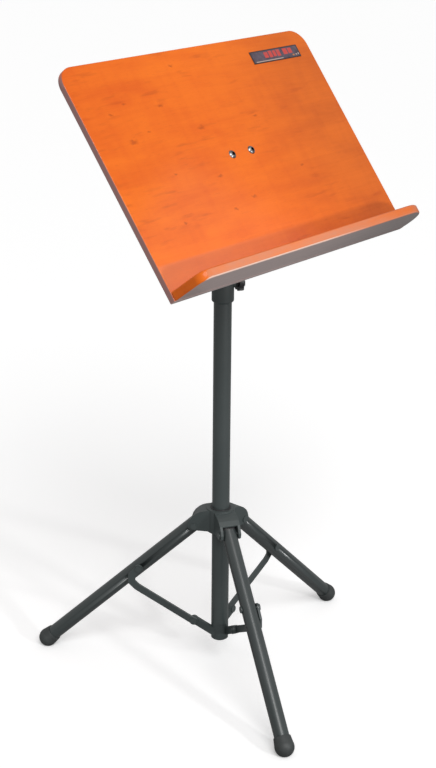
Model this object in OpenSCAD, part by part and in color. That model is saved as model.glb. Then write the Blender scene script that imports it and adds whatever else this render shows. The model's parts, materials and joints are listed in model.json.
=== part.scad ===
// Orchestral music stand: wooden desk on a sliding mast with a folding tripod.
// Millimetres, +Z up. The origin is on the floor under the mast's axis and the desk faces -Y.

/* [Desk] */
// Width of the board and of the ledge
desk_w = 500; // [400:5:560]
// Height of the board above the ledge, measured along the board
board_h = 321; // [240:1:380]
// Thickness of the board
board_t = 10; // [6:0.5:15]
// Radius of the board's top corners
board_corner_r = 26; // [5:1:60]
// How far the ledge reaches in front of the board
ledge_reach = 63; // [30:1:80]
// Thickness of the ledge
ledge_t = 13; // [8:0.5:20]
// Radius of the ledge's front corner on the reader's left
ledge_left_r = 17; // [5:1:60]
// Radius of the ledge's front corner on the reader's right
ledge_right_r = 58; // [5:1:60]
// How far the desk leans back from upright
desk_tilt = 37.5; // [0:0.5:80]

/* [Badge] */
// Width of the badge
badge_w = 107; // [60:1:140]
// Height of the badge
badge_h = 19.5; // [10:0.5:30]
// Thickness of the badge
badge_t = 0.8; // [0.5:0.1:2]
// Centre of the badge, sideways from the middle of the desk
badge_x = 168.5; // [0:0.5:180]
// Centre of the badge above the ledge, along the board
badge_u = 287.5; // [200:0.5:320]

/* [Tilt head] */
// Height of the tilt axis above the floor
tilt_z = 775; // [700:1:900]
// Distance from the tilt axis to the board's front face
tilt_to_front = 40; // [30:1:60]
// Height of the tilt axis above the ledge, along the board
tilt_u = 156; // [120:1:200]
// Half the distance between the two desk bolts
bolt_half_pitch = 20; // [12:0.5:40]
// Diameter of the desk bolts' heads
bolt_head_d = 12.5; // [9:0.5:18]
// Diameter of the desk bolts' shanks
bolt_d = 6; // [4:0.5:8]
// Width of the tilt head between the two ears
head_w = 15; // [10:1:18]
// Diameter of the cross bolt
tilt_bolt_d = 8; // [6:0.5:12]

/* [Mast] */
// Outside diameter of the outer tube
mast_d = 26; // [20:0.5:35]
// Wall of the outer tube
mast_wall = 1.5; // [1:0.1:3]
// Lower end of the outer tube above the floor
mast_z0 = 68; // [50:1:100]
// Upper end of the outer tube above the floor
mast_z1 = 622; // [500:1:700]
// Outside diameter of the inner tube
inner_d = 20; // [15:0.5:28]
// Wall of the inner tube
inner_wall = 1.5; // [1:0.1:3]
// Lower end of the inner tube above the floor
inner_z0 = 185; // [120:1:300]
// Outside diameter of the clamp collar
collar_d = 32; // [28:0.5:45]
// Lower edge of the clamp collar above the floor
collar_z0 = 579; // [480:1:660]
// Upper edge of the clamp collar above the floor
collar_z1 = 632; // [500:1:720]
// Height of the clamp screw above the floor
knob_z = 608; // [490:1:700]
// Direction of the clamp screw round the mast, from +X
knob_dir = -30; // [-180:1:180]
// Diameter of the hand knobs
knob_d = 28; // [20:1:45]

/* [Tripod] */
// Angle between each leg and the mast with the tripod open
leg_splay = 46.9; // [30:0.1:60]
// Outside diameter of the leg tubes
leg_d = 22; // [16:0.5:30]
// Wall of the leg tubes
leg_wall = 1.5; // [1:0.1:3]
// Length of a leg from its hub pivot to the middle of its foot
leg_len = 321.5; // [250:0.5:400]
// Distance of the hub pivots and of the lower brace pivots from the mast's axis
pivot_r = 38; // [34:0.5:44]
// Height of the lower brace pivots above the floor
foot_pivot_z = 73; // [60:1:90]
// Lower end of the mast's foot above the floor
foot_z0 = 39; // [30:1:60]
// Distance between the two pivots of a brace, and from the hub pivot to the brace on a leg
brace_len = 116.4; // [90:0.1:160]
// How much the straight part of a brace rises for each millimetre outwards
brace_rise = 0.56; // [0.4:0.01:0.8]
// Width of the flat brace bars
brace_w = 11; // [8:0.5:14]
// Thickness of the flat brace bars
brace_t = 3.5; // [2:0.5:5]
// Diameter of the tripod's rivets
pin_d = 6; // [4:0.5:8]
// Diameter of the rubber feet
foot_d = 28.5; // [27:0.5:36]

/* [Hidden] */
$fn = 64;
// Radial clearance of a shaft that turns or slides in its bore
run_gap = 0.05;
// Sideways clearance between a moving piece and the one beside it
side_gap = 0.4;
// Height of the leg pivots, with the tripod open
hub_pivot_z = foot_pivot_z + 2 * brace_len * cos(leg_splay);
leg_angles = [-120, 0, 120];
board_back = tilt_to_front - board_t;
plate_t = 3;
ear_t = 4;
washer_t = 1.4;
ear_x = head_w / 2 + side_gap + washer_t;
knob_x = ear_x + ear_t + washer_t;
mast_bore = mast_d - 2 * mast_wall;
head_z0 = tilt_z - 53;
head_z1 = tilt_z - 23;
screw_d = 8;
knob_r0 = collar_d / 2 + 1.5;
hub_top = hub_pivot_z + 28.5;
hub_bottom = hub_pivot_z - 8;
cheek_t = 4;
// The top of a leg is round about its pivot
leg_top_r = 12;
cheek_y = leg_d / 2 + side_gap + 0.2;
// A brace lies beside its leg: its inner face, outer face and the face of the mast foot's lug
brace_y0 = leg_d / 2 + 0.5;
brace_y1 = brace_y0 + brace_t;
lug_y1 = brace_y0 - side_gap;
lug_y0 = lug_y1 - 5.5;
rivet_head = 1.6;

// Colours
wood = [0.86, 0.42, 0.16];
dark_metal = [0.20, 0.22, 0.22];
steel = [0.72, 0.73, 0.75];
black_plastic = [0.08, 0.08, 0.09];
rubber = [0.10, 0.10, 0.11];

// Frames

// Desk frame: origin on the tilt axis, X sideways, -Y out of the board's front, Z up the board.
module on_desk() {
    translate([0, 0, tilt_z])
        rotate([-desk_tilt, 0, 0])
            children();
}

// Places children on the axis of each desk bolt.
module at_desk_bolts() {
    for (x = [-bolt_half_pitch, bolt_half_pitch])
        translate([x, 0, 0])
            children();
}

// Clamp screw frame: Z runs out from the mast's axis along the screw.
module on_screw() {
    translate([0, 0, knob_z])
        rotate([0, 0, knob_dir])
            rotate([0, 90, 0])
                children();
}

// Places children in the vertical plane of leg n, with X outwards.
module in_plane(n) {
    rotate([0, 0, leg_angles[n - 1]])
        children();
}

// Leg frame: Z runs down the leg's axis from the hub pivot and X points to its underside.
module on_leg(n) {
    in_plane(n)
        translate([pivot_r, 0, hub_pivot_z])
            rotate([0, 180 - leg_splay, 0])
                children();
}

// Shapes

// Cylinder along X, centred on X = 0.
module rod_x(d, w) {
    rotate([0, 90, 0])
        cylinder(d = d, h = w, center = true);
}

// Cylinder along Y, centred on Y = 0.
module rod_y(d, w) {
    rotate([90, 0, 0])
        cylinder(d = d, h = w, center = true);
}

// Cylinder along Y from y0 to y1.
module disc_y(d, y0, y1) {
    translate([0, (y0 + y1) / 2, 0])
        rod_y(d, y1 - y0);
}

// Unit normal of the vector v in the plane of a bar.
function normal(v) = [v[1], -v[0]] / norm(v);

// Offset of a bar's edge from point i of its path, for a half width of 1 and mitred bends.
function mitre(path, i) =
    let (a = max(i, 1), b = min(i + 1, len(path) - 1))
    let (n0 = normal(path[a] - path[a - 1]), n1 = normal(path[b] - path[b - 1]))
    (n0 + n1) / (1 + n0 * n1);

// Flat bar along a path of [x, z] points, between y0 and y1.
module flat_bar(path, w, y0, y1) {
    last = len(path) - 1;
    edge_1 = [for (i = [0 : last]) path[i] + w / 2 * mitre(path, i)];
    edge_2 = [for (i = [last : -1 : 0]) path[i] - w / 2 * mitre(path, i)];
    translate([0, y1, 0])
        rotate([90, 0, 0])
            linear_extrude(height = y1 - y0)
                polygon(concat(edge_1, edge_2));
}

// Round tube along Z from z0 to z1.
module tube(d, bore, z0, z1) {
    translate([0, 0, z0])
        difference() {
            cylinder(d = d, h = z1 - z0);
            translate([0, 0, -1])
                cylinder(d = bore, h = z1 - z0 + 2);
        }
}

// Rivet along Y through everything between y0 and y1, with a head at each end.
module rivet(y0, y1) {
    disc_y(pin_d, y0 - rivet_head / 2, y1 + rivet_head / 2);
    disc_y(pin_d + 4, y0 - rivet_head, y0);
    disc_y(pin_d + 4, y1, y1 + rivet_head);
}

// Hand knob on the Z axis from z = 0, scalloped round its rim.
module hand_knob(d, h, bore) {
    scallops = 6;
    difference() {
        union() {
            cylinder(d = 0.6 * d, h = h);
            translate([0, 0, 3])
                cylinder(d = d, h = h - 4);
        }
        for (i = [0 : scallops - 1])
            rotate([0, 0, i * 360 / scallops])
                translate([0.6 * d, 0, -1])
                    cylinder(d = 0.36 * d, h = h + 2);
        translate([0, 0, -1])
            cylinder(d = bore, h = h - 3);
    }
}

// Desk

// The board reaches down behind the ledge, which is fixed to its front face.
module desk_board() {
    r = board_corner_r;
    top = board_h - tilt_u;
    color(wood)
        on_desk()
            difference() {
                union() {
                    translate([-desk_w / 2, -tilt_to_front, -tilt_u - ledge_t])
                        cube([desk_w, board_t, board_h + ledge_t - r]);
                    translate([-desk_w / 2 + r, -tilt_to_front, 0])
                        cube([desk_w - 2 * r, board_t, top]);
                    for (s = [-1, 1])
                        translate([s * (desk_w / 2 - r), -tilt_to_front + board_t / 2, top - r])
                            rod_y(2 * r, board_t);
                }
                at_desk_bolts()
                    translate([0, -tilt_to_front, 0])
                        rod_y(bolt_d, 3 * board_t);
            }
}

// Right half of the ledge, from its back edge on Y = 0, with its front corner rounded.
module half_ledge(r) {
    intersection() {
        union() {
            translate([-1, -ledge_reach, 0])
                cube([desk_w / 2 - r + 1, ledge_reach + 1, ledge_t]);
            translate([-1, -ledge_reach + r, 0])
                cube([desk_w / 2 + 1, ledge_reach, ledge_t]);
            translate([desk_w / 2 - r, -ledge_reach + r, 0])
                cylinder(r = r, h = ledge_t);
        }
        translate([-desk_w, -2 * ledge_reach, -1])
            cube([2 * desk_w, 2 * ledge_reach, ledge_t + 2]);
    }
}

// Shelf along the foot of the board.
module music_ledge() {
    color(wood)
        on_desk()
            translate([0, -tilt_to_front, -tilt_u - ledge_t]) {
                half_ledge(ledge_right_r);
                mirror([1, 0, 0])
                    half_ledge(ledge_left_r);
            }
}

module badge_plate() {
    color(black_plastic)
        on_desk()
            translate([badge_x - badge_w / 2, -tilt_to_front - badge_t, badge_u - tilt_u - badge_h / 2])
                cube([badge_w, badge_t, badge_h]);
}

// Domed heads with a hexagon recess, and shanks back through the board and the plate.
module desk_bolts() {
    dome = 3.2;
    shank = board_t + plate_t + 9;
    ball_r = (pow(bolt_head_d / 2, 2) + dome * dome) / (2 * dome);
    color(steel)
        on_desk()
            at_desk_bolts()
                translate([0, -tilt_to_front, 0])
                    rotate([90, 0, 0])
                        difference() {
                            union() {
                                intersection() {
                                    cylinder(d = bolt_head_d, h = dome);
                                    translate([0, 0, dome - ball_r])
                                        sphere(r = ball_r);
                                }
                                translate([0, 0, -shank])
                                    cylinder(d = bolt_d, h = shank + 1);
                            }
                            translate([0, 0, 1.4])
                                cylinder(d = 4.6, h = dome, $fn = 6);
                        }
}

// Plate behind the board with two ears round the tilt axis.
module desk_plate() {
    color(dark_metal)
        on_desk()
            difference() {
                union() {
                    translate([-40, -board_back, -32])
                        cube([80, plate_t, 64]);
                    for (s = [-1, 1])
                        translate([s * (ear_x + ear_t / 2), 0, 0]) {
                            rod_x(26, ear_t);
                            translate([-ear_t / 2, 1 - board_back, -13])
                                cube([ear_t, board_back - 1, 26]);
                        }
                }
                rod_x(tilt_bolt_d, 80);
                at_desk_bolts()
                    translate([0, -board_back, 0])
                        rod_y(bolt_d, 12);
            }
}

module desk_washers() {
    color(steel)
        on_desk()
            at_desk_bolts()
                translate([0, plate_t - board_back + 0.6, 0])
                    difference() {
                        rod_y(12, 1.2);
                        rod_y(bolt_d, 3);
                    }
}

module desk_nuts() {
    color(steel)
        on_desk()
            at_desk_bolts()
                translate([0, plate_t - board_back + 1.2, 0])
                    rotate([-90, 0, 0])
                        difference() {
                            cylinder(d = 11.5, h = 5, $fn = 6);
                            translate([0, 0, -1])
                                cylinder(d = bolt_d, h = 7);
                        }
}

// Tilt head

// Socket over the inner tube, with a block above it that the cross bolt passes through.
module tilt_head() {
    color(dark_metal)
        translate([0, 0, tilt_z])
            difference() {
                union() {
                    translate([0, 0, head_z0 - tilt_z])
                        cylinder(d = 30, h = head_z1 - head_z0);
                    translate([-head_w / 2, -9, head_z1 - tilt_z - 6])
                        cube([head_w, 18, tilt_z - head_z1 + 6]);
                    rod_x(24, head_w);
                }
                translate([0, 0, head_z0 - tilt_z - 1])
                    cylinder(d = inner_d, h = head_z1 - head_z0 + 1);
                rod_x(tilt_bolt_d + 2 * run_gap, 80);
            }
}

// Hexagon-headed bolt along the tilt axis, with its end in the knob's nut.
module tilt_bolt() {
    head_t = 5;
    left = ear_x + ear_t;
    right = knob_x + 12;
    color(steel)
        on_desk()
            translate([-left, 0, 0])
                rotate([0, 90, 0]) {
                    cylinder(d = tilt_bolt_d, h = left + right);
                    translate([0, 0, -head_t])
                        cylinder(d = 15, h = head_t, $fn = 6);
                }
}

module tilt_washers() {
    color(black_plastic)
        on_desk()
            for (s = [-1, 1])
                translate([s * (ear_x - washer_t / 2), 0, 0])
                    difference() {
                        rod_x(22, washer_t);
                        rod_x(tilt_bolt_d, 3 * washer_t);
                    }
}

module tilt_knob() {
    color(black_plastic)
        on_desk()
            translate([knob_x, 0, 0])
                rotate([0, 90, 0])
                    difference() {
                        hand_knob(knob_d, 18, tilt_bolt_d + 4 * run_gap);
                        translate([0, 0, -1])
                            cylinder(d = 15, h = 7.5, $fn = 6);
                    }
}

module tilt_knob_nut() {
    color(steel)
        on_desk()
            translate([knob_x, 0, 0])
                rotate([0, 90, 0])
                    difference() {
                        cylinder(d = 15, h = 6.5, $fn = 6);
                        translate([0, 0, -1])
                            cylinder(d = tilt_bolt_d + 2 * run_gap, h = 9);
                    }
}

// Mast

module inner_tube() {
    color(dark_metal)
        tube(inner_d, inner_d - 2 * inner_wall, inner_z0, head_z1);
}

// Cap over the lower end of the inner tube that slides in the outer tube.
module tube_glide() {
    color(black_plastic)
        translate([0, 0, inner_z0 - 10])
            difference() {
                cylinder(d = mast_bore - 2 * run_gap, h = 26);
                translate([0, 0, 10])
                    cylinder(d = inner_d, h = 20);
            }
}

module guide_bush() {
    color(black_plastic)
        tube(mast_bore - 2 * run_gap, inner_d + 2 * run_gap, mast_z1 - 38, mast_z1);
}

module mast_tube() {
    color(dark_metal)
        difference() {
            tube(mast_d, mast_bore, mast_z0, mast_z1);
            on_screw()
                cylinder(d = screw_d + 1, h = mast_d);
        }
}

// Collar over the top of the mast, with a lip over the bush and a boss for the clamp screw.
module height_collar() {
    cut = 3;
    h = collar_z1 - collar_z0;
    color(dark_metal)
        difference() {
            union() {
                translate([0, 0, collar_z0]) {
                    cylinder(d1 = collar_d - 2 * cut, d2 = collar_d, h = cut);
                    translate([0, 0, cut])
                        cylinder(d = collar_d, h = h - 2 * cut);
                    translate([0, 0, h - cut])
                        cylinder(d1 = collar_d, d2 = collar_d - 2 * cut, h = cut);
                }
                on_screw()
                    cylinder(d = 17, h = knob_r0 - 0.5);
            }
            translate([0, 0, collar_z0 - 1])
                cylinder(d = mast_d, h = mast_z1 - collar_z0 + 1);
            translate([0, 0, mast_z1 - 1])
                cylinder(d = inner_d + 1, h = collar_z1 - mast_z1 + 2);
            on_screw()
                cylinder(d = screw_d + 2 * run_gap, h = 40);
        }
}

module height_knob() {
    color(black_plastic)
        on_screw()
            translate([0, 0, knob_r0])
                hand_knob(knob_d, 12, screw_d);
}

module height_screw() {
    color(steel)
        on_screw()
            translate([0, 0, mast_d / 2 - 1])
                cylinder(d = screw_d, h = knob_r0 + 8 - mast_d / 2);
}

// Casting in the foot of the mast: a plug, a round end and a lug beside each leg's plane.
module mast_foot() {
    ball_r = 20;
    color(dark_metal)
        difference() {
            union() {
                intersection() {
                    translate([0, 0, foot_z0])
                        cylinder(d = mast_d, h = mast_z0 - foot_z0);
                    translate([0, 0, foot_z0 + ball_r])
                        sphere(r = ball_r);
                }
                translate([0, 0, foot_z0 + ball_r])
                    cylinder(d = mast_d, h = mast_z0 - foot_z0 - ball_r);
                translate([0, 0, mast_z0 - 1])
                    cylinder(d = mast_bore, h = 25);
                for (n = [1 : 3])
                    in_plane(n)
                        foot_lug();
            }
            for (n = [1 : 3])
                in_plane(n)
                    translate([pivot_r, 0, foot_pivot_z])
                        rod_y(pin_d, 40);
        }
}

// Lug from the mast foot out to the lower brace pivot, in line with the brace.
module foot_lug() {
    start = 2;
    flat_bar([[start, foot_pivot_z - brace_rise * (pivot_r - start)], [pivot_r, foot_pivot_z]],
        brace_w + 1, lug_y0, lug_y1);
    translate([pivot_r, 0, foot_pivot_z])
        disc_y(brace_w + 2, lug_y0, lug_y1);
}

module brace_foot_rivets() {
    color(dark_metal)
        for (n = [1 : 3])
            in_plane(n)
                translate([pivot_r, 0, foot_pivot_z])
                    rivet(lug_y0, brace_y1 + side_gap);
}

// Hub

// Outline of one arm of the hub in the plane of its leg, from the leg pivot's height up.
module hub_arm_outline() {
    polygon([[8, 27.5], [16, 27], [24, 25.5], [30, 23.5], [35, 20.5], [41, 15], [44.5, 9.5],
        [46.5, 2.5], [46.5, -3], [43, -6.5], [8, -6.5]]);
}

// Outline of the slot that the round top of a leg swings in, open to the front below the arm's roof.
module hub_slot_outline() {
    translate([pivot_r, 0])
        circle(r = leg_top_r + 0.6);
    polygon([[25.8, -20], [25.8, -2], [37, 0], [37, 12.8], [40.5, 13.2], [40.5, 20], [60, 20],
        [60, -20]]);
}

module hub_arm(n, w) {
    in_plane(n)
        translate([0, w / 2, hub_pivot_z])
            rotate([90, 0, 0])
                linear_extrude(height = w)
                    children();
}

module hub_body() {
    color(dark_metal)
        difference() {
            union() {
                translate([0, 0, hub_bottom])
                    cylinder(d = 42, h = hub_top - hub_bottom);
                for (n = [1 : 3])
                    hub_arm(n, 2 * (cheek_y + cheek_t))
                        hub_arm_outline();
            }
            for (n = [1 : 3]) {
                hub_arm(n, 2 * cheek_y)
                    hub_slot_outline();
                in_plane(n)
                    translate([pivot_r, 0, hub_pivot_z])
                        rod_y(pin_d, 60);
            }
            translate([0, 0, hub_bottom - 20])
                cylinder(d = mast_d + 5, h = 100);
        }
}

module hub_bush() {
    color(black_plastic)
        tube(mast_d + 5, mast_d + 2 * run_gap, hub_bottom, hub_top + 1);
}

module leg_pivot_pins() {
    color(dark_metal)
        for (n = [1 : 3])
            in_plane(n)
                translate([pivot_r, 0, hub_pivot_z])
                    rivet(-cheek_y - cheek_t, cheek_y + cheek_t);
}

// Legs

module leg_tube(n) {
    color(dark_metal)
        on_leg(n)
            difference() {
                tube(leg_d, leg_d - 2 * leg_wall, -4.5, leg_len - 6);
                rod_y(pin_d + 4 * run_gap, 2 * leg_d);
                translate([0, 0, brace_len])
                    rod_y(pin_d, 2 * leg_d);
            }
}

// Plug in the top of a leg tube, round about the hub's pin that passes through it.
module leg_plug(n) {
    color(black_plastic)
        on_leg(n)
            difference() {
                union() {
                    translate([0, 0, -6])
                        cylinder(d = leg_d - 2 * leg_wall, h = 32);
                    intersection() {
                        translate([0, 0, -leg_top_r - 2])
                            cylinder(d = leg_d, h = leg_top_r - 2.5);
                        rod_y(2 * leg_top_r, 2 * leg_d);
                    }
                }
                rod_y(pin_d + 2 * run_gap, 2 * leg_d);
            }
}

// Rivet through a leg tube that holds the upper end of the brace beside it.
module leg_rivet(n) {
    color(dark_metal)
        on_leg(n)
            translate([0, 0, brace_len])
                rivet(-leg_d / 2, brace_y1 + side_gap);
}

// Flat bar that rises straight from the mast to its leg, then turns up beside the leg to its rivet.
module brace(n) {
    reach = pivot_r + brace_len * sin(leg_splay);
    bend = reach + 3 - pivot_r;
    path = [[0, 0], [bend, brace_rise * bend], [bend + 8.5, brace_rise * bend + 8],
        [bend + 8, brace_rise * bend + 18], [reach - pivot_r, brace_len * cos(leg_splay)]];
    color(dark_metal)
        in_plane(n)
            translate([pivot_r, 0, foot_pivot_z])
                difference() {
                    union() {
                        flat_bar(path, brace_w, brace_y0, brace_y1);
                        for (end = [path[0], path[len(path) - 1]])
                            translate([end[0], 0, end[1]])
                                disc_y(brace_w + 1.5, brace_y0, brace_y1);
                    }
                    for (end = [path[0], path[len(path) - 1]])
                        translate([end[0], 0, end[1]])
                            rod_y(pin_d + 2 * run_gap, 60);
                }
}

// Rubber foot: a flared sleeve over the leg tube with a round end cut flat at the floor.
module foot_cap(n) {
    sleeve = 14;
    rim = 2;
    color(rubber)
        difference() {
            on_leg(n)
                difference() {
                    union() {
                        translate([0, 0, leg_len - sleeve])
                            cylinder(d1 = leg_d + 3, d2 = foot_d - 0.5, h = sleeve - rim);
                        translate([0, 0, leg_len])
                            sphere(d = foot_d);
                    }
                    translate([0, 0, leg_len - 60])
                        cylinder(d = leg_d, h = 54);
                }
            translate([-400, -400, -40])
                cube([800, 800, 40]);
        }
}

module leg_tube_1() { leg_tube(1); }
module leg_tube_2() { leg_tube(2); }
module leg_tube_3() { leg_tube(3); }
module leg_plug_1() { leg_plug(1); }
module leg_plug_2() { leg_plug(2); }
module leg_plug_3() { leg_plug(3); }
module leg_rivet_1() { leg_rivet(1); }
module leg_rivet_2() { leg_rivet(2); }
module leg_rivet_3() { leg_rivet(3); }
module brace_1() { brace(1); }
module brace_2() { brace(2); }
module brace_3() { brace(3); }
module foot_cap_1() { foot_cap(1); }
module foot_cap_2() { foot_cap(2); }
module foot_cap_3() { foot_cap(3); }

desk_board();
music_ledge();
badge_plate();
desk_bolts();
desk_plate();
desk_washers();
desk_nuts();
tilt_head();
tilt_bolt();
tilt_washers();
tilt_knob();
tilt_knob_nut();
inner_tube();
tube_glide();
guide_bush();
mast_tube();
height_collar();
height_knob();
height_screw();
mast_foot();
brace_foot_rivets();
hub_body();
hub_bush();
leg_pivot_pins();
leg_tube_1();
leg_tube_2();
leg_tube_3();
leg_plug_1();
leg_plug_2();
leg_plug_3();
leg_rivet_1();
leg_rivet_2();
leg_rivet_3();
brace_1();
brace_2();
brace_3();
foot_cap_1();
foot_cap_2();
foot_cap_3();
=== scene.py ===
"""Orchestral music stand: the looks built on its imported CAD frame, in metres."""

import json
import math

import bpy
from mathutils import Matrix, Vector

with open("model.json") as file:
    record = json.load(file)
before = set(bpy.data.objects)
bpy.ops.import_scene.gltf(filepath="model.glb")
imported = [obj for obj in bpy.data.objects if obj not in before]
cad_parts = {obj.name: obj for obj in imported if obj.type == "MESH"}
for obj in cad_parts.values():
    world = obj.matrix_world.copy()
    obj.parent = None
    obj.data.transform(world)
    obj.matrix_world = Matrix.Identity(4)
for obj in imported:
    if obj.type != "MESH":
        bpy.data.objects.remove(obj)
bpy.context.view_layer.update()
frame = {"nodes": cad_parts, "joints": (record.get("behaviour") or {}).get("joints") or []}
NODES = frame["nodes"]
MM = 0.001

# Camera: where it stands, the way it looks in degrees, and its frame and lens in mm.
# The values come from a least-squares fit to the photo.
CAMERA_PLACE = (-1.692, -1.437, 1.270)
CAMERA_YAW = -49.51
CAMERA_PITCH = 20.16
CAMERA_ROLL = 0.50
FRAME_HEIGHT = 24.0
LENS = 51.11

# Square lamps: name, place, target, side and power in watts
LAMPS = [
    ("key", (-0.3, -2.6, 1.05), (0, 0, 0.75), 0.2, 20),
    ("sheen", (1.64, -1.19, 2.03), (-0.17, -0.11, 0.69), 0.45, 0.75),
]
# Sky: a point that its light comes from, its strength and its spread in degrees
SKY_FROM = (-0.5, -0.7, 0.9)
SKY_STRENGTH = 1.50
SKY_SPREAD = 35

# Greys of the studio, the floor and its glow: as the camera sees them, then as they light the object
STUDIO_GREY = (1.0, 0.44)
FLOOR_GREY = (0.95, 0.30)
FLOOR_GLOW = (1.0, 0.0)
FLOOR_GLOW_STRENGTH = 0.24
FLOOR_SIZE = 40

# Colours of the wood, linear: its stain; painted shade that browns it to the right; painted sheen on the
# ledge's front; painted shade and reflection on its ends and underside; and a painted highlight on the
# ledge's edge with painted sheen above the ledge
STAIN_LIGHT = (0.92, 0.187, 0.009, 1)
STAIN_DARK = (0.74, 0.110, 0.006, 1)
# Painted shade: browner tones for the right of the desk, where the light falls off
SHADED_BROWN = (0.70, 0.145, 0.012, 1)
SHADED_UMBER = (0.42, 0.090, 0.009, 1)
STAIN_FLECK = (0.46, 0.060, 0.006, 1)
STAIN_KNOT = (0.30, 0.036, 0.004, 1)
# Painted sheen on the ledge's front face
FRONT_SHEEN = (0.60, 0.27, 0.175, 1)
# Painted shade and reflection: greyer end faces, and an underside that darkens to the right
END_SHADE = (0.30, 0.215, 0.22, 1)
UNDERSIDE_SHADE = (0.55, 0.42, 0.40, 1)
UNDERSIDE_SHADE_FAR = (0.27, 0.21, 0.20, 1)
# Painted highlight on the ledge's lower front edge, and painted sheen on the board above the ledge
PAINTED_HIGHLIGHT_AND_SHEEN = (0.95, 0.80, 0.70, 1)

# Colours of the metal, plastic and rubber, linear
CHARCOAL = (0.044, 0.056, 0.056, 1)
CHARCOAL_PALE = (0.054, 0.067, 0.067, 1)
CHARCOAL_DARK = (0.034, 0.042, 0.042, 1)
BARE_METAL = (0.42, 0.42, 0.42, 1)
ZINC = (0.44, 0.45, 0.47, 1)
ZINC_FILM = (0.15, 0.15, 0.15, 1)
# Painted shade on the floor of the desk bolts' sockets
SOCKET_SHADE = (0.010, 0.010, 0.010, 1)
NYLON = ((0.035, 0.035, 0.037, 1), (0.022, 0.022, 0.024, 1))
KNOB_PLASTIC = ((0.030, 0.030, 0.033, 1), (0.018, 0.018, 0.020, 1))
RUBBER = ((0.050, 0.056, 0.056, 1), (0.034, 0.038, 0.038, 1))
DUST = (0.30, 0.29, 0.27, 1)
BLACK = (0, 0, 0, 1)

# Colours of the badge, linear
BADGE_RIM = (0.012, 0.010, 0.014, 1)
MAUVE = (0.11, 0.080, 0.110, 1)
MAUVE_DARK = (0.050, 0.034, 0.055, 1)
CORAL = (0.62, 0.05, 0.035, 1)
CREAM = (0.55, 0.42, 0.36, 1)
AMBER = (0.62, 0.20, 0.03, 1)

# Noise in the wood: repeats per metre sideways, through it and up it, then detail, roughness, distortion
WARP = ((2, 6, 6), 2.0)
WARP_REACH = (0, 0.006, 0.014)
BLOTCH = ((9, 22, 34), 4.0, 0.55, 0.3)
STREAK = ((14, 260, 300), 5.0, 0.6)
PORES = ((110, 1500, 1700), 1.0)
FIGURE = ((70, 20, 14), 2.0)
CLOUD = ((3.5, 4, 5), 3.0)
DASHES = ((22, 90, 125), 2.0, 0.5)
GATHERING = ((7, 7, 12), 2.0)

# Blocks of the glued-up panel: their height, length and largest shift in metres, and what varies the shift
STAVE_HEIGHT = 0.041
BLOCK_LENGTH = 0.36
ROW_SHIFT = 0.31
ROW_VARIETY = 12.9
# Shift that gives the ledge a grain of its own, in metres
LEDGE_GRAIN = (0.73, 0.3, 0.41)

# Knots and mineral marks on the desk: sideways from its middle, height above the ledge, length, in mm.
# The first eleven places are output of the program that fitted the camera, rounded, and not chosen by hand.
DESK_MARKS = [
    (-50, 298, 5), (-167, 257, 5), (-105, 245, 6), (-198, 245, 5), (-183, 203, 9), (-148, 213, 4),
    (-52, 203, 8), (-140, 148, 4), (-63, 131, 6), (-65, 81, 5), (-166, 81, 4), (62, 204, 6),
    (104, 118, 5), (-20, 92, 6),
]
# Height of a mark for each unit of its length
MARK_HEIGHT = 0.45
# Top of the band of painted sheen on the lacquer above the ledge
SHEEN_BAND_TOP = 38 * MM
# Height of the desk's tilt axis above the ledge
LEDGE_TO_AXIS = 156 * MM
# Distance of each desk bolt from the middle of the desk, and radius of the painted shade on its socket's
# floor
BOLT_SIDE = 20 * MM
SOCKET_RADIUS = 2.2 * MM

# Width and height of the badge's coloured field, in metres
BADGE_FIELD = (0.103, 0.0165)
# The badge's print, plain shapes with no lettering, listed one by one.
# Each has its place from the badge's middle, width and height in mm, and its colour.
PRINT = [
    (-20.5, 1.4, 8.5, 9.0, CORAL), (-10.5, 1.8, 7.5, 10.5, CORAL), (-1.5, 1.8, 6.5, 9.5, CORAL),
    (7.5, 1.8, 7.5, 10.5, CORAL), (23.0, 2.2, 9.5, 9.5, CORAL), (34.0, 2.2, 8.5, 8.5, CORAL),
    (-17.5, -7.4, 61.0, 1.3, CREAM), (38.0, -5.4, 4.0, 2.2, AMBER), (44.5, -5.2, 2.4, 2.2, CREAM),
    (49.5, -4.8, 2.4, 2.6, CREAM),
]

# Rounding of sharp edges, in mm
EDGE_WIDTHS = {
    "board_wood": 1.6, "ledge_wood": 2.4, "badge": 0.15, "plated_steel": 0.25, "cast_metal": 0.7,
    "black_metal": 0.3, "nylon": 0.3, "knob_plastic": 0.8, "foot_rubber": 0.8,
}
HUB_EDGE = 2.2


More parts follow.
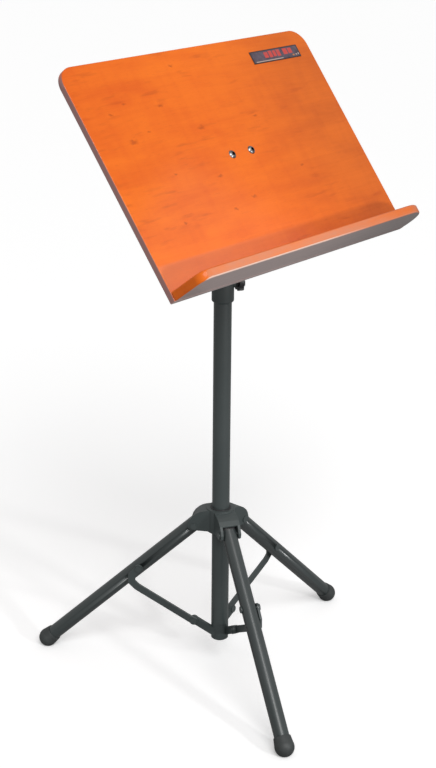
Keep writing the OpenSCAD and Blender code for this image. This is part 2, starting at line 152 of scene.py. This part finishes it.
class Graph:
    """A material's node tree, with a short call for each kind of node used below."""

    def __init__(self, name, **sockets):
        self.material = bpy.data.materials.new(name)
        self.material.use_nodes = True
        self.tree = self.material.node_tree
        self.shader = self.tree.nodes["Principled BSDF"]
        self.place = self.node("ShaderNodeTexCoord").outputs["Object"]
        for socket, value in sockets.items():
            self.set(socket.replace("_", " "), value)

    def link(self, socket, value):
        """Sets a socket to a number, a tuple or another node's output."""
        if isinstance(value, bpy.types.NodeSocket):
            self.tree.links.new(value, socket)
        else:
            socket.default_value = value

    def set(self, name, value):
        """Sets one of the shader's own sockets."""
        self.link(self.shader.inputs[name], value)

    def node(self, kind, inputs=(), **settings):
        made = self.tree.nodes.new(kind)
        for setting, value in settings.items():
            setattr(made, setting, value)
        for key, value in dict(inputs).items():
            self.link(made.inputs[key], value)
        return made

    def math(self, operation, a, b=0.0, c=0.0):
        return self.node("ShaderNodeMath", {0: a, 1: b, 2: c}, operation=operation).outputs[0]

    def times(self, a, b):
        return self.math("MULTIPLY", a, b)

    def vector_math(self, operation, a, b=(0, 0, 0)):
        made = self.node("ShaderNodeVectorMath", {0: a, 1: b}, operation=operation)
        is_number = operation in ("DISTANCE", "LENGTH", "DOT_PRODUCT")
        return made.outputs["Value" if is_number else "Vector"]

    def split(self, vector):
        """The X, Y and Z parts of a vector."""
        return self.node("ShaderNodeSeparateXYZ", {0: vector}).outputs

    def noise(self, vector, scale, detail=2.0, roughness=0.5, distortion=0.0):
        inputs = {
            "Vector": vector,
            "Scale": scale,
            "Detail": detail,
            "Roughness": roughness,
            "Distortion": distortion,
        }
        return self.node("ShaderNodeTexNoise", inputs).outputs["Fac"]

    def stretched_noise(self, vector, stretch, *settings):
        """Noise with its own number of repeats along each axis."""
        return self.noise(self.vector_math("MULTIPLY", vector, stretch), 1.0, *settings)

    def spread(self, value, low, high, to_low=0.0, to_high=1.0):
        """Maps low to high onto to_low to to_high with soft ends, and clamps it."""
        inputs = {"Value": value, 1: low, 2: high, 3: to_low, 4: to_high}
        return self.node("ShaderNodeMapRange", inputs, interpolation_type="SMOOTHSTEP").outputs[0]

    def mix(self, factor, a, b):
        inputs = {0: factor, 6: a, 7: b}
        return self.node("ShaderNodeMix", inputs, data_type="RGBA").outputs[2]

    def bump(self, height, distance, strength):
        """A normal from a height, whose full depth is a distance in mm."""
        inputs = {"Height": height, "Distance": distance * MM, "Strength": strength}
        return self.node("ShaderNodeBump", inputs).outputs["Normal"]

    def edges(self, low, high):
        """1 on the object's sharp outer edges, 0 elsewhere."""
        pointiness = self.node("ShaderNodeNewGeometry").outputs["Pointiness"]
        return self.spread(pointiness, low, high)

    def facing(self, direction, low=0.80, high=0.97):
        """1 where the surface looks along a direction of the object's own axes, 0 elsewhere."""
        normal = self.node("ShaderNodeTexCoord").outputs["Normal"]
        return self.spread(self.vector_math("DOT_PRODUCT", normal, direction), low, high)


# Wood

def desk_place(graph, tilt, pivot, shift):
    """Coordinates that lean with the desk: X sideways, Y through the board and Z up it.

    Its tilt axis is at shift."""
    turned = Matrix.Rotation(tilt, 3, "X") @ (-Vector(pivot)) + Vector(shift)
    inputs = {"Vector": graph.place, "Rotation": (tilt, 0, 0), "Location": turned}
    return graph.node("ShaderNodeMapping", inputs, vector_type="POINT").outputs[0]


def staves(graph, place):
    """A shade for each block of the glued-up panel, from 0 to 1."""
    x, _, z = graph.split(place)
    row = graph.math("FLOOR", graph.math("DIVIDE", z, STAVE_HEIGHT))
    offset = graph.times(graph.math("SINE", graph.times(row, ROW_VARIETY)), ROW_SHIFT)
    column = graph.math("FLOOR", graph.math("DIVIDE", graph.math("ADD", x, offset), BLOCK_LENGTH))
    cell = graph.node("ShaderNodeCombineXYZ", {0: column, 2: row}).outputs[0]
    return graph.node("ShaderNodeTexWhiteNoise", {"Vector": cell}, noise_dimensions="3D").outputs["Value"]


def marks(graph, place):
    """1 in the middle of each knot, fading out along the grain."""
    wander = graph.math("SUBTRACT", graph.noise(place, 130.0, 3.0), 0.5)
    x, _, z = graph.split(place)
    across = graph.math("MULTIPLY_ADD", wander, 10 * MM, z)
    spot = graph.node("ShaderNodeCombineXYZ", {0: x, 2: graph.math("DIVIDE", across, MARK_HEIGHT)}).outputs[0]
    darkest = 0.0
    for mark_x, mark_z, length in DESK_MARKS:
        centre = (mark_x * MM, 0, mark_z * MM / MARK_HEIGHT)
        away = graph.vector_math("DISTANCE", spot, centre)
        mark = graph.spread(away, 0.1 * length * MM, 1.2 * length * MM, 1, 0)
        darkest = graph.math("MAXIMUM", darkest, mark)
    return darkest


def wood_shade(graph, place, grain_place, streak, cloud):
    """How dark the stain is, from 0 to 1: patches, clouds, streaks, figure and blocks together."""
    weights = [
        (graph.spread(graph.stretched_noise(grain_place, *BLOTCH), 0.36, 0.70), 0.36),
        (graph.spread(cloud, 0.35, 0.65), 0.34),
        (graph.spread(streak, 0.38, 0.66), 0.08),
        (graph.spread(graph.stretched_noise(place, *FIGURE), 0.40, 0.75), 0.12),
        (staves(graph, place), 0.14),
    ]
    shade = 0.0
    for layer, weight in weights:
        shade = graph.math("MULTIPLY_ADD", layer, weight, shade)
    return shade


def stained(graph, place, grain_place, sideways, shade, pore):
    """The stain, with painted shade that makes it browner to the right, flecks along the grain and dark
    pores.
    """
    colour = graph.mix(shade, STAIN_LIGHT, STAIN_DARK)
    # Painted shade: the stain turns browner to the right, where the light falls off
    shaded_brown = graph.mix(shade, SHADED_BROWN, SHADED_UMBER)
    colour = graph.mix(graph.spread(sideways, -0.04, 0.24, 0, 0.60), colour, shaded_brown)
    dashes = graph.spread(graph.stretched_noise(grain_place, *DASHES), 0.56, 0.78, 0, 0.36)
    gathered = graph.spread(graph.stretched_noise(place, *GATHERING), 0.42, 0.60)
    colour = graph.mix(graph.times(dashes, gathered), colour, STAIN_FLECK)
    return graph.mix(graph.times(pore, 0.12), colour, STAIN_KNOT)


def board_colour(graph, colour, place, sideways, on_front):
    """Knots, painted shade and reflection on the ends of the board, and a painted sheen on its front above
    the ledge.
    """
    colour = graph.mix(graph.times(marks(graph, place), 0.50), colour, STAIN_KNOT)
    # Painted shade and reflection: the board's end faces turn greyer
    ends = [graph.facing((side, 0, 0), 0.6, 0.95) for side in (-1, 1)]
    colour = graph.mix(graph.times(graph.math("MAXIMUM", *ends), 0.85), colour, END_SHADE)
    # Painted sheen: a pale band on the front just above the ledge, strongest at the left
    painted_sheen = graph.spread(graph.split(place)[2], SHEEN_BAND_TOP - 5 * MM, SHEEN_BAND_TOP, 0.075, 0)
    painted_sheen = graph.times(graph.times(on_front, painted_sheen), graph.spread(sideways, -0.25, 0.10, 1, 0))
    return graph.mix(painted_sheen, colour, PAINTED_HIGHLIGHT_AND_SHEEN)


def ledge_colour(graph, colour, shade, cloud, sideways, on_front, lower_arris):
    """Painted sheen on the ledge's front face and a painted highlight along its lower edge, both fading to
    the right.
    """
    # Painted sheen: the ledge's front face paler and pinker, fading to the right
    pale = graph.mix(shade, FRONT_SHEEN, STAIN_LIGHT)
    sheen_amount = graph.times(on_front, graph.spread(sideways, -0.05, 0.22, 1, 0.5))
    colour = graph.mix(sheen_amount, colour, pale)
    # Painted highlight along the ledge's lower front edge, patchy and fading to the right
    patchy = graph.spread(cloud, 0.3, 0.6, 0.6, 1)
    arris_glint = graph.times(graph.spread(sideways, -0.03, 0.12, 0.85, 0.15), patchy)
    return graph.mix(graph.times(graph.facing(lower_arris, 0.80, 0.94), arris_glint), colour, PAINTED_HIGHLIGHT_AND_SHEEN)


def lacquered_wood(name, tilt, pivot, shift, is_board):
    """Orange-stained hardwood under clear lacquer, with its grain along X."""
    graph = Graph(name, Coat_Weight=0.45, Coat_Roughness=0.12, Coat_IOR=1.45, IOR=1.45)
    graph.set("Specular IOR Level", 0.15)
    place = desk_place(graph, tilt, pivot, shift)
    sideways = graph.split(graph.place)[0]
    warp = graph.vector_math("MULTIPLY", graph.stretched_noise(place, *WARP), WARP_REACH)
    grain_place = graph.vector_math("ADD", place, warp)
    streak = graph.stretched_noise(grain_place, *STREAK)
    pore = graph.spread(graph.stretched_noise(grain_place, *PORES), 0.62, 0.72)
    cloud = graph.stretched_noise(place, *CLOUD)
    shade = wood_shade(graph, place, grain_place, streak, cloud)
    colour = stained(graph, place, grain_place, sideways, shade, pore)
    down = Vector((0, -math.sin(tilt), -math.cos(tilt)))
    front = Vector((0, -math.cos(tilt), math.sin(tilt)))
    on_front = graph.facing(front)
    if is_board:
        colour = board_colour(graph, colour, place, sideways, on_front)
        underneath = graph.facing(down, 0.25, 0.80)
    else:
        lower_arris = (front + down).normalized()
        colour = ledge_colour(graph, colour, shade, cloud, sideways, on_front, lower_arris)
        underneath = graph.facing(down)
    # Painted shade and reflection: the underside greyer, and darker to the right
    shaded_underside = graph.mix(graph.spread(sideways, -0.08, 0.24), UNDERSIDE_SHADE, UNDERSIDE_SHADE_FAR)
    graph.set("Base Color", graph.mix(underneath, colour, shaded_underside))
    graph.set("Roughness", graph.spread(streak, 0.3, 0.7, 0.34, 0.46))
    graph.set("Normal", graph.bump(graph.math("MULTIPLY_ADD", pore, -0.6, streak), 0.06, 0.5))
    graph.set("Coat Normal", graph.bump(graph.noise(place, 55.0, 3.0), 0.10, 0.6))
    return graph.material


# Metal, plastic, rubber and the badge

def painted_metal(name, grain, texture, roughness, coat, painted_shade=0.0):
    """Charcoal paint on metal: fine texture, uneven gloss and worn edges."""
    graph = Graph(name, Coat_Weight=coat, Coat_Roughness=0.20, Coat_IOR=1.6)
    cloud = graph.noise(graph.place, 9.0, 3.0)
    fine = graph.noise(graph.place, grain, 3.0, 0.6)
    colour = graph.mix(graph.spread(cloud, 0.3, 0.7), CHARCOAL, CHARCOAL_PALE)
    colour = graph.mix(graph.spread(fine, 0.55, 0.8, 0, 0.30), colour, CHARCOAL_DARK)
    # Painted shade: mixes the paint towards black
    colour = graph.mix(painted_shade, colour, BLACK)
    chips = graph.noise(graph.place, 160.0, 4.0, 0.7)
    worn = graph.times(graph.edges(0.66, 0.80), graph.spread(chips, 0.55, 0.68))
    graph.set("Base Color", graph.mix(graph.times(worn, 0.35), colour, BARE_METAL))
    graph.set("Metallic", graph.times(worn, 0.4))
    gloss = graph.math("ADD", graph.spread(cloud, 0.3, 0.7, -0.03, 0.04), roughness)
    graph.set("Roughness", graph.math("MULTIPLY_ADD", graph.math("SUBTRACT", fine, 0.5), 0.10, gloss))
    graph.set("Normal", graph.bump(fine, texture, 0.4))
    return graph.material


def plated_steel(name, tilt, pivot):
    """Zinc plate with fine scratches and a smoky film, and painted shade in the two desk bolts' sockets."""
    graph = Graph(name, Metallic=1.0, Anisotropic=0.2)
    scratches = graph.stretched_noise(graph.place, (300, 2600, 900), 4.0, 0.6)
    film = graph.noise(graph.place, 420.0, 3.0)
    colour = graph.mix(graph.spread(film, 0.35, 0.65), ZINC, ZINC_FILM)
    # Painted shade on the floor of each desk bolt's socket
    x, _, z = graph.split(desk_place(graph, tilt, pivot, (0, 0, 0)))
    beside = graph.math("SUBTRACT", graph.math("ABSOLUTE", x), BOLT_SIDE)
    from_axis = graph.node("ShaderNodeCombineXYZ", {0: beside, 1: z}).outputs[0]
    away = graph.vector_math("LENGTH", from_axis)
    socket = graph.spread(away, SOCKET_RADIUS, SOCKET_RADIUS + 0.8 * MM, 0.9, 0)
    graph.set("Base Color", graph.mix(socket, colour, SOCKET_SHADE))
    graph.set("Roughness", graph.spread(scratches, 0.3, 0.7, 0.22, 0.42))
    graph.set("Normal", graph.bump(scratches, 0.02, 0.4))
    return graph.material


def moulded(name, colours, roughness, grain, texture, dust):
    """Moulded rubber or plastic: spark-eroded grain, uneven gloss and a little dust."""
    light, dark = colours
    graph = Graph(name)
    fine = graph.noise(graph.place, grain, 3.0, 0.6)
    cloud = graph.noise(graph.place, 40.0, 4.0, 0.6)
    colour = graph.mix(graph.spread(cloud, 0.3, 0.7), dark, light)
    graph.set("Base Color", graph.mix(graph.spread(cloud, 0.5, 0.8, 0, dust), colour, DUST))
    graph.set("Roughness", graph.math("MULTIPLY_ADD", graph.math("SUBTRACT", fine, 0.5), 0.15, roughness))
    graph.set("Normal", graph.bump(fine, texture, 0.6))
    return graph.material


def patch(graph, place, middle, size):
    """1 inside a rectangle of the badge with soft edges, 0 outside it."""
    soft = 0.35 * MM
    inside = 1.0
    for along, centre, length in zip((place[0], place[2]), middle, size):
        away = graph.math("ABSOLUTE", graph.math("SUBTRACT", along, centre))
        inside = graph.times(inside, graph.spread(away, length / 2 - soft, length / 2 + soft, 1, 0))
    return inside


def enamel(name, tilt, pivot, shift, centre):
    """A printed badge: a dark mauve ground with plain coloured shapes under a clear coat."""
    graph = Graph(name, Coat_Weight=0.4, Coat_Roughness=0.15)
    place = graph.split(desk_place(graph, tilt, pivot, shift))
    cloud = graph.noise(graph.place, 90.0, 4.0, 0.6)
    ground = graph.mix(graph.spread(cloud, 0.3, 0.7), MAUVE_DARK, MAUVE)
    colour = graph.mix(patch(graph, place, (centre.x, centre.z), BADGE_FIELD), BADGE_RIM, ground)
    thin = graph.spread(cloud, 0.25, 0.75, 1.0, 0.72)
    for shape_x, shape_z, width, height, ink in PRINT:
        middle = (centre.x + shape_x * MM, centre.z + shape_z * MM)
        shape = patch(graph, place, middle, (width * MM, height * MM))
        colour = graph.mix(graph.times(shape, thin), colour, ink)
    graph.set("Base Color", colour)
    graph.set("Roughness", graph.spread(cloud, 0.3, 0.7, 0.28, 0.40))
    graph.set("Normal", graph.bump(graph.noise(graph.place, 2600.0, 1.0), 0.02, 0.3))
    return graph.material


# Finishing the CAD nodes

def desk_tilt():
    """How far the desk leans back, from the direction that its broad face looks."""
    face = max(NODES["desk_board"].data.polygons, key=lambda polygon: polygon.area)
    return math.atan2(abs(face.normal.z), abs(face.normal.y))


def badge_centre(tilt, pivot):
    """The middle of the badge in desk coordinates."""
    corners = [Vector(corner) for corner in NODES["badge_plate"].bound_box]
    middle = sum(corners, Vector()) / len(corners)
    return Matrix.Rotation(tilt, 3, "X") @ (middle - Vector(pivot)) + Vector((0, 0, LEDGE_TO_AXIS))


def soften(node, width, clamp):
    """Joins the faces of a node's mesh, and rounds its sharp edges by a width in mm if there is one."""
    weld = node.modifiers.new("weld", "WELD")
    weld.merge_threshold = 0.001 * MM
    if width:
        bevel = node.modifiers.new("soft edges", "BEVEL")
        bevel.width = width * MM
        bevel.segments = 3
        bevel.limit_method = "ANGLE"
        bevel.angle_limit = math.radians(35)
        bevel.use_clamp_overlap = clamp
        bevel.loop_slide = False
        bevel.harden_normals = True


def make_materials():
    """One material for each slot that the nodes were packed with, and one more for the legs: the black metal
    painted darker, as painted shade.
    """
    tilt = desk_tilt()
    pivot = next(joint["pos_m"] for joint in frame["joints"] if joint["name"] == "desk_tilt")
    on_board = (0, 0, LEDGE_TO_AXIS)
    return {
        "board_wood": lacquered_wood("board_wood_look", tilt, pivot, on_board, True),
        "ledge_wood": lacquered_wood("ledge_wood_look", tilt, pivot, LEDGE_GRAIN, False),
        "badge": enamel("badge_look", tilt, pivot, on_board, badge_centre(tilt, pivot)),
        "plated_steel": plated_steel("plated_steel_look", tilt, pivot),
        "cast_metal": painted_metal("cast_metal_look", 700.0, 0.06, 0.44, 0.10),
        "black_metal": painted_metal("black_metal_look", 1500.0, 0.03, 0.36, 0.45),
        # A darker copy of the black metal: painted shade on the leg tubes
        "shaded_leg_paint": painted_metal("shaded_leg_look", 1500.0, 0.03, 0.36, 0.45, 0.28),
        "nylon": moulded("nylon_look", NYLON, 0.45, 900.0, 0.03, 0.03),
        "knob_plastic": moulded("knob_look", KNOB_PLASTIC, 0.40, 1400.0, 0.05, 0.04),
        "foot_rubber": moulded("rubber_look", RUBBER, 0.55, 800.0, 0.08, 0.05),
    }


def finish_nodes():
    """Gives each CAD node the material of its slot, and softens its edges.

    The tubes' plain cut ends lie inside other pieces, so they are left as they are."""
    materials = make_materials()
    for name, node in NODES.items():
        slot = node.material_slots[0].material.name.split(".")[0]
        node.material_slots[0].material = materials["shaded_leg_paint" if "leg_tube" in name else slot]
        width = HUB_EDGE if name == "hub_body" else EDGE_WIDTHS[slot]
        soften(node, 0 if "tube" in name else width, "wood" not in slot)


# Stage, light and camera

def seen_or_lit(tree, greys):
    """A colour that is seen by the camera as one grey and lights the object as another."""
    seen, lit = greys
    path = tree.nodes.new("ShaderNodeLightPath")
    mix = tree.nodes.new("ShaderNodeMix")
    mix.data_type = "RGBA"
    mix.inputs[6].default_value = (lit, lit, lit, 1)
    mix.inputs[7].default_value = (seen, seen, seen, 1)
    tree.links.new(path.outputs["Is Camera Ray"], mix.inputs[0])
    return mix.outputs[2]


def make_floor():
    """A plain white floor that reflects only a little of its light back up at the object."""
    bpy.ops.mesh.primitive_plane_add(size=FLOOR_SIZE)
    floor = bpy.context.object
    floor.name = "floor"
    material = bpy.data.materials.new("floor_look")
    material.use_nodes = True
    tree = material.node_tree
    shader = tree.nodes["Principled BSDF"]
    shader.inputs["Roughness"].default_value = 0.9
    shader.inputs["Specular IOR Level"].default_value = 0.1
    shader.inputs["Emission Strength"].default_value = FLOOR_GLOW_STRENGTH
    tree.links.new(seen_or_lit(tree, FLOOR_GREY), shader.inputs["Base Color"])
    tree.links.new(seen_or_lit(tree, FLOOR_GLOW), shader.inputs["Emission Color"])
    floor.data.materials.append(material)


def add_light(name, data, place, target):
    """Puts a light at place and turns it to shine at target."""
    light = bpy.data.objects.new(name, data)
    bpy.context.scene.collection.objects.link(light)
    light.location = place
    light.rotation_euler = (Vector(target) - Vector(place)).to_track_quat("-Z", "Y").to_euler()


def make_lights():
    """A pale studio, a wide soft sky and two square lamps."""
    world = bpy.data.worlds.new("studio")
    world.use_nodes = True
    tree = world.node_tree
    tree.links.new(seen_or_lit(tree, STUDIO_GREY), tree.nodes["Background"].inputs["Color"])
    bpy.context.scene.world = world
    sky = bpy.data.lights.new("sky", "SUN")
    sky.energy = SKY_STRENGTH
    sky.angle = math.radians(SKY_SPREAD)
    add_light("sky", sky, SKY_FROM, (0, 0, 0))
    for name, place, target, side, power in LAMPS:
        lamp = bpy.data.lights.new(name, "AREA")
        lamp.shape = "RECTANGLE"
        lamp.size = lamp.size_y = side
        lamp.energy = power
        add_light(name, lamp, place, target)


def make_camera():
    data = bpy.data.cameras.new("camera")
    data.sensor_fit = "VERTICAL"
    data.sensor_height = FRAME_HEIGHT
    data.lens = LENS
    camera = bpy.data.objects.new("camera", data)
    bpy.context.scene.collection.objects.link(camera)
    yaw = Matrix.Rotation(math.radians(CAMERA_YAW), 4, "Z")
    pitch = Matrix.Rotation(math.radians(90 - CAMERA_PITCH), 4, "X")
    roll = Matrix.Rotation(math.radians(CAMERA_ROLL), 4, "Z")
    camera.matrix_world = Matrix.Translation(CAMERA_PLACE) @ yaw @ pitch @ roll
    bpy.context.scene.camera = camera


finish_nodes()
make_floor()
make_lights()
make_camera()
bpy.context.scene.view_settings.view_transform = "Standard"
